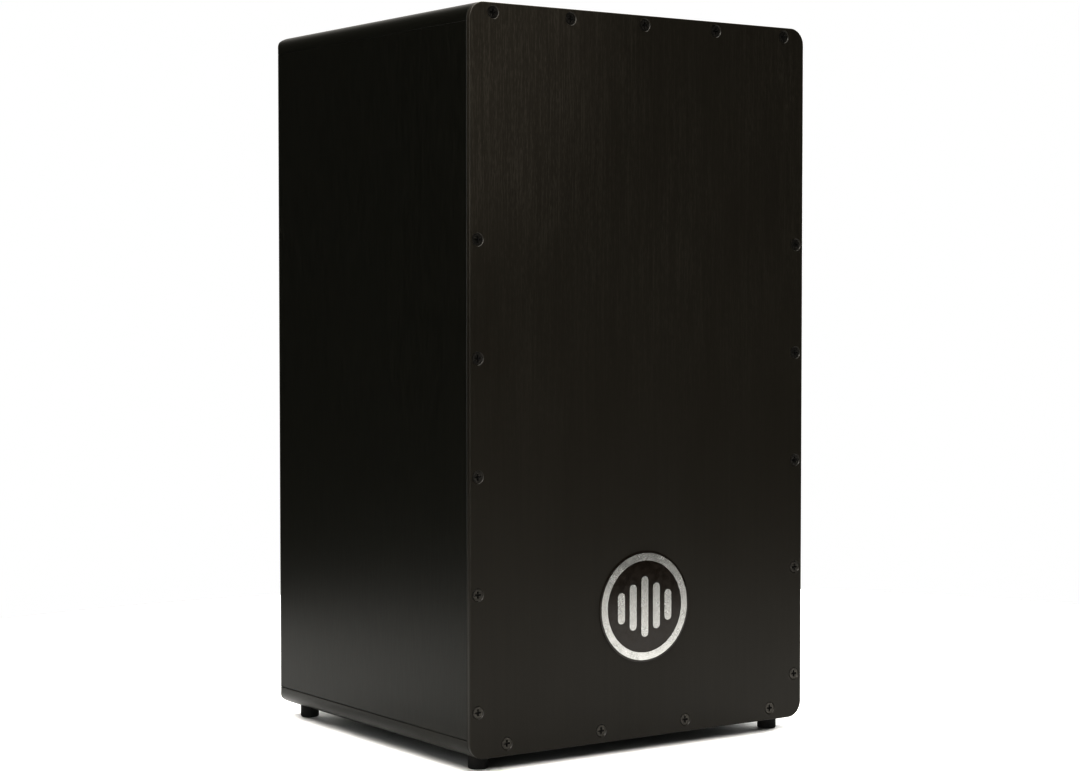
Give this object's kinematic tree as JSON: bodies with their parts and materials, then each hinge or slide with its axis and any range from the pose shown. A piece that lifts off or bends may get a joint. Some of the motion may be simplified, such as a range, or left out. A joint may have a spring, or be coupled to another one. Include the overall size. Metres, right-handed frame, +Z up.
{
  "type": "cajon",
  "caption": "Box drum of painted wood with a thin screwed front plate, a round badge, rubber feet, a rear sound port and a turning snare bar inside.",
  "frame": {"origin": "centre of the footprint, on the surface that the feet stand on", "axes": "+Z up, -Y towards the listener, out of the playing plate, +X to the right of someone facing the plate"},
  "size_m": [0.279, 0.2578, 0.492],
  "materials": {
    "black_satin": "satin black paint over wood",
    "black_plate": "satin black stain over veneer",
    "black_screw": "black oxide",
    "raw_beech": "unfinished",
    "rubber": "matte",
    "zinc": "zinc plated",
    "steel": "drawn steel",
    "silver_foil": "sparkling foil",
    "badge_black": "gloss",
    "adhesive": "tacky film"
  },
  "bodies": {
    "cabinet": {"left_panel": "black_satin", "right_panel": "black_satin", "seat_panel": "black_satin", "bottom_panel": "black_satin", "back_panel": "black_satin", "playing_plate": "black_plate", "plate_screws": "black_screw", "corner_dowels": "raw_beech", "top_left_glue_block": "raw_beech", "top_right_glue_block": "raw_beech", "bottom_left_glue_block": "raw_beech", "bottom_right_glue_block": "raw_beech", "front_left_foot": "rubber", "front_right_foot": "rubber", "back_left_foot": "rubber", "back_right_foot": "rubber", "foot_washers": "zinc", "foot_screws": "zinc", "badge_adhesive": "adhesive", "badge_plate": "badge_black", "badge_ring": "silver_foil", "badge_bars": "silver_foil", "left_rod_bracket": "raw_beech", "right_rod_bracket": "raw_beech", "left_rod_bush": "rubber", "right_rod_bush": "rubber", "bracket_screws": "zinc"},
    "snare": {"snare_rod": "raw_beech", "left_snare_wires": "steel", "right_snare_wires": "steel", "left_snare_clip": "steel", "right_snare_clip": "steel", "left_snare_end": "steel", "right_snare_end": "steel", "clip_screws": "zinc"}
  },
  "joints": [
    {"name": "snare_turn", "type": "hinge", "parent": "cabinet", "child": "snare", "pos_m": [0, -0.09863, 0.344], "axis": [-1, 0, 0], "range_deg": [0, 25]}
  ]
}
